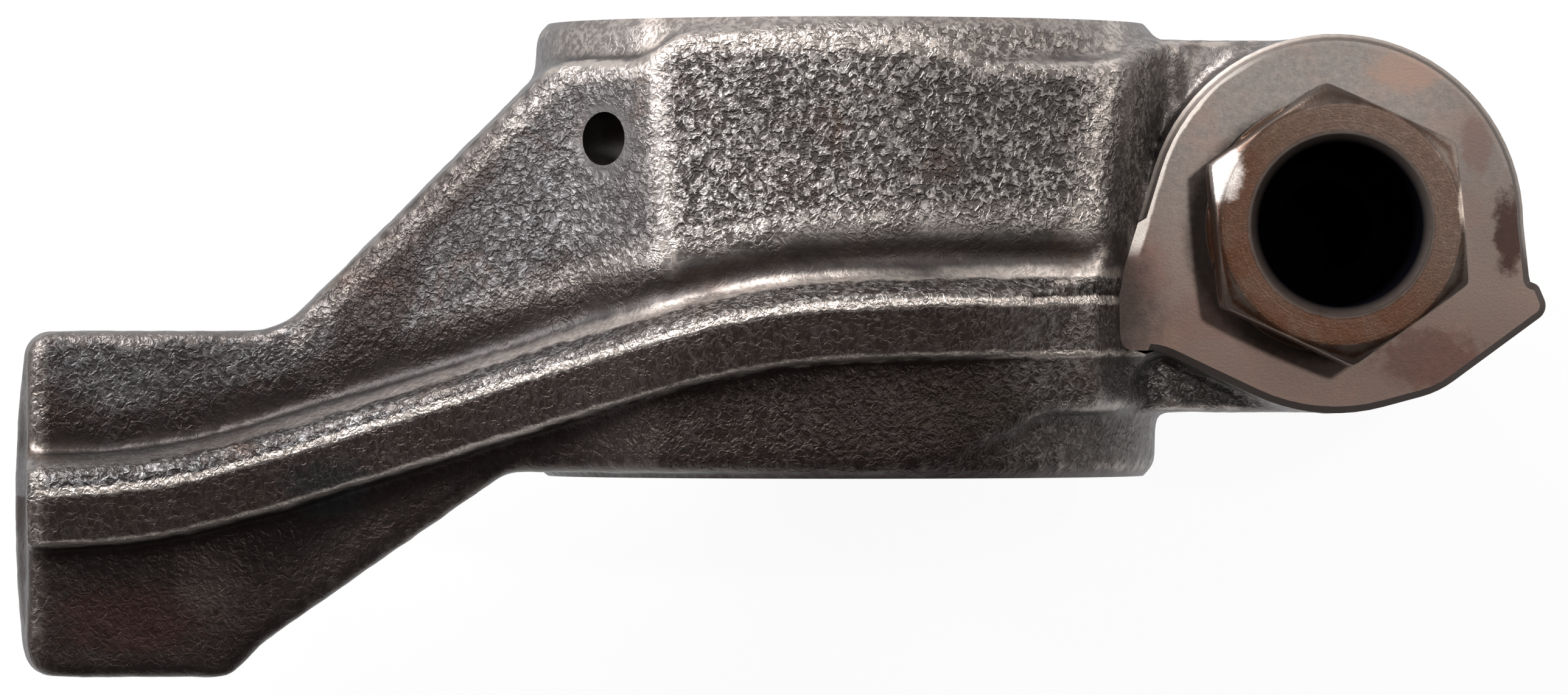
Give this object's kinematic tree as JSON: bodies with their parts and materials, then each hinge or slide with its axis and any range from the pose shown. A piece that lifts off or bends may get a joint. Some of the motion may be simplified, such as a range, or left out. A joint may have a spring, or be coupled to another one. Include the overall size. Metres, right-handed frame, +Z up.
{
  "type": "rocker arm",
  "caption": "Offset cast rocker arm that turns on a shaft, with a spine rib, a curved valve pad and a ball-ended hexagon adjusting screw.",
  "frame": {"origin": "centre of the shaft bore, halfway along the barrel", "axes": "+Y along the rocker shaft, +X from the bore towards the adjusting screw, +Z up, parallel to the adjusting screw, away from the pushrod and the valve"},
  "size_m": [0.0791, 0.0341, 0.036],
  "materials": {
    "casting": "as cast, oiled and worn",
    "screw_steel": "turned and stained brown"
  },
  "bodies": {
    "arm": {"rocker_casting": "casting"},
    "screw": {"adjusting_screw": "screw_steel"}
  },
  "joints": [
    {"name": "adjuster_turn", "type": "hinge", "parent": "arm", "child": "screw", "pos_m": [0.02445, 0.0012, 0.01], "axis": [0, 0, 1], "range_deg": [-240, 900]}
  ]
}
